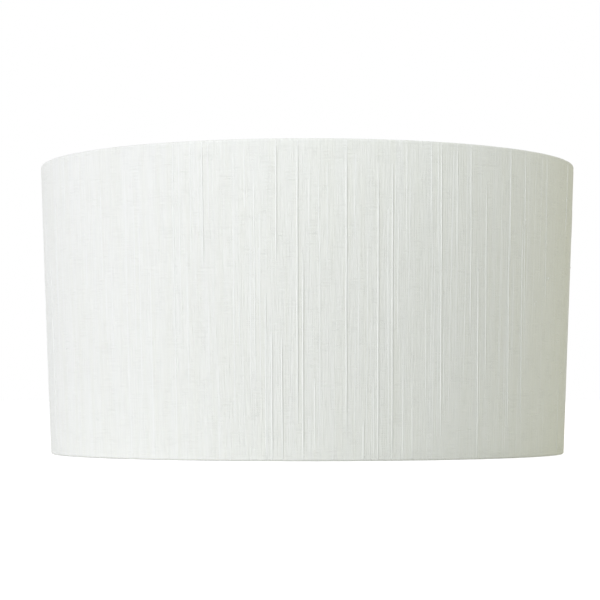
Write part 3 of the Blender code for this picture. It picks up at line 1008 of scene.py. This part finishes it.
def add_nep(grid, flat, turn, length, size, seed):
    """A small knot of fibre, flattened against the cloth."""
    centre = place_cloth(turn, length)
    out = polar(math.cos(WALL_TILT), SEAM + turn, math.sin(WALL_TILT))
    side = Vector((-math.sin(SEAM + turn), math.cos(SEAM + turn), 0))
    up = out.cross(side)
    for corner in bmesh.ops.create_icosphere(grid, subdivisions=2, radius=1.0)["verts"]:
        d = corner.co.normalized()
        swell = size * (1 + 0.35 * noise.noise(d * 2.1 + Vector((seed, 0, 0))))
        corner.co = centre + (side * d.x * 0.8 + up * d.y * 1.1 + out * d.z * 0.6) * swell
        for loop in corner.link_loops:
            loop[flat].uv = (turn * MIDDLE, length)


def front_turn(degrees):
    return math.pi + math.radians(degrees)


def up_wall(share):
    return WALL_FROM + (WALL_TO - WALL_FROM) * min(1.0, max(0.0, share))


threads = bmesh.new()
flat_layer = threads.loops.layers.uv.new("flat_sheet")
for index, (degrees, low, high, boldness) in enumerate(FRONT_SLUBS):
    lean = SLUB_LEAN * math.radians(max(0, degrees))
    turn = front_turn(degrees)
    add_slub(threads, flat_layer, turn, up_wall(low), up_wall(high), boldness, lean, index * 3.7)
for index, (degrees, share, size) in enumerate(FRONT_NEPS):
    add_nep(threads, flat_layer, front_turn(degrees), up_wall(share), NEP * size, index * 1.9)

loom = random.Random(23)
for index in range(STRAY_SLUBS):
    turn = loom.uniform(math.radians(3), math.tau - math.radians(3))
    run = loom.uniform(0.06, 0.75)
    low = loom.uniform(-0.2, 1.05 - run)
    boldness = loom.uniform(*FAINT)
    if abs(turn - math.pi) > FRONT_EDGE and loom.random() < BOLD_SHARE:
        boldness = loom.uniform(*BOLD)
    add_slub(threads, flat_layer, turn, up_wall(low), up_wall(low + run), boldness, 0, 100 + index)
for index in range(STRAY_NEPS):
    turn = loom.uniform(math.radians(4), math.tau - math.radians(4))
    size = NEP * loom.uniform(0.35, 0.8)
    add_nep(threads, flat_layer, turn, up_wall(loom.uniform(0.06, 0.94)), size, index * 2.3)
bmesh.ops.recalc_face_normals(threads, faces=threads.faces)
slubs = mesh_piece("slub_threads", threads, slub_silk(), "shade", soft_edge=80)
# The second material is the painted shadow beside the bold strands.
slubs.data.materials.append(painted_slub_shadow())

# THE SEAM
# Clear double-sided tape bonds the lapped end to the first end, the whole height of the panel. Its edge
# shows as a thin glassy line in the step of the lap.

TAPE_INSET = 0.0007


def clear_tape():
    """Acrylic adhesive tape: a pale, slightly yellow film, glossy at its edge, with dust in it 1 mm apart."""
    tape, tree, shader = new_material("clear_acrylic_tape", 0.25, ior=1.47)
    place = put(tree, "ShaderNodeUVMap", uv_map="flat_sheet")
    dust = put(tree, "ShaderNodeTexNoise", {"Vector": place.outputs["UV"], "Scale": 1 / 0.001, "Detail": 1.0})
    tint = put(
        tree,
        "ShaderNodeMix",
        {"Factor": dust.outputs["Fac"], "A": linear("#eeeadb"), "B": linear("#e2dcc6")},
        data_type="RGBA",
    )
    into_shader(tree, shader, tint.outputs["Result"], None, dust.outputs["Fac"], 0.00002)
    return tape


def place_tape(turn, length):
    share = length / WALL
    radius = BOTTOM_RADIUS + (TOP_RADIUS - BOTTOM_RADIUS) * share
    height = BOTTOM_HEIGHT + (TOP_HEIGHT - BOTTOM_HEIGHT) * share
    out = WRAP + HAIR + TAPE
    return polar(radius + out * math.cos(WALL_TILT), SEAM + turn, height + out * math.sin(WALL_TILT))


tape_turns = [(TAPE_INSET + (LAP - 2 * TAPE_INSET) * k / 6) / MIDDLE for k in range(7)]
sheet(
    "lap_tape",
    tape_turns,
    panel_rows,
    place_tape,
    lambda turn, length: True,
    clear_tape(),
    ["seam_tape"],
    TAPE,
)

# THE SETTING
# A pale floor under an even dull sky, both of which the camera sees as bright white. A window on the left
# does most of the lighting, a weak warm light comes from behind on the right, and a small lamp hangs close
# above the front.

CAMERA_AWAY = 1.744
CAMERA_HEIGHT = 0.0518
CAMERA_TILT = 0.0445
CAMERA_PAN = 0.0035
LENS = 123.26
SKY_LIGHT = 0.40
FLOOR_GLOW = 0.75
FLOOR_RADIUS = 9.0
FLOOR_LEVEL = -0.0006  # under the lowest tuck of the bottom hem
SHADE_MIDDLE = (0, 0, 0.12)


def pale_floor():
    """Matt white paint. It glows for the camera alone, so that it runs into the backdrop with no horizon."""
    paint, tree, shader = new_material("matt_white_floor", 0.9)
    shader.inputs["Base Color"].default_value = linear("#f4f4f2")
    shader.inputs["Emission Color"].default_value = linear("#ffffff")
    seen = put(tree, "ShaderNodeLightPath").outputs["Is Camera Ray"]
    glow = put(tree, "ShaderNodeMath", {0: seen, 1: FLOOR_GLOW}, operation="MULTIPLY")
    tree.links.new(glow.outputs[0], shader.inputs["Emission Strength"])
    return paint


ground = bmesh.new()
bmesh.ops.create_circle(ground, cap_ends=True, segments=96, radius=FLOOR_RADIUS)
floor_mesh = bpy.data.meshes.new("floor")
ground.to_mesh(floor_mesh)
ground.free()
floor_mesh.materials.append(pale_floor())
floor = bpy.data.objects.new("floor", floor_mesh)
floor.location.z = FLOOR_LEVEL
bpy.context.scene.collection.objects.link(floor)

world = bpy.data.worlds.new("studio")
world.use_nodes = True
bpy.context.scene.world = world
backdrop_seen = put(world.node_tree, "ShaderNodeLightPath").outputs["Is Camera Ray"]
backdrop = put(
    world.node_tree,
    "ShaderNodeMix",
    {"Factor": backdrop_seen, "A": (SKY_LIGHT, SKY_LIGHT, SKY_LIGHT, 1), "B": (1, 1, 1, 1)},
    data_type="RGBA",
)
world.node_tree.links.new(backdrop.outputs["Result"], world.node_tree.nodes["Background"].inputs["Color"])


def softbox(name, place, aim, width, height, power, colour):
    """A flat area light that faces the aim."""
    light = bpy.data.lights.new(name, "AREA")
    light.shape = "RECTANGLE"
    light.size = width
    light.size_y = height
    light.energy = power
    light.color = colour
    lamp = bpy.data.objects.new(name, light)
    lamp.location = place
    lamp.rotation_euler = (Vector(aim) - Vector(place)).to_track_quat("-Z", "Y").to_euler()
    lamp.visible_camera = False
    bpy.context.scene.collection.objects.link(lamp)


softbox("window", (-2.46, -1.38, 1.15), SHADE_MIDDLE, 2.8, 1.6, 56.5, (0.89, 0.872, 1.0))
softbox("warm_light", (2.32, 1.34, 0.50), SHADE_MIDDLE, 1.6, 1.6, 11.5, (1.0, 0.93, 0.36))
softbox("lamp", (0.17, -0.55, 0.52), (0.06, -0.21, 0.2), 0.3, 0.3, 1.02, (0.92, 0.93, 1.0))

camera_data = bpy.data.cameras.new("camera")
camera_data.lens = LENS
camera_data.sensor_width = 36
camera = bpy.data.objects.new("camera", camera_data)
camera.location = (0, -CAMERA_AWAY, CAMERA_HEIGHT)
camera.rotation_euler = (math.pi / 2 + CAMERA_TILT, 0, CAMERA_PAN)
bpy.context.scene.collection.objects.link(camera)
bpy.context.scene.camera = camera
bpy.context.scene.view_settings.view_transform = "Standard"
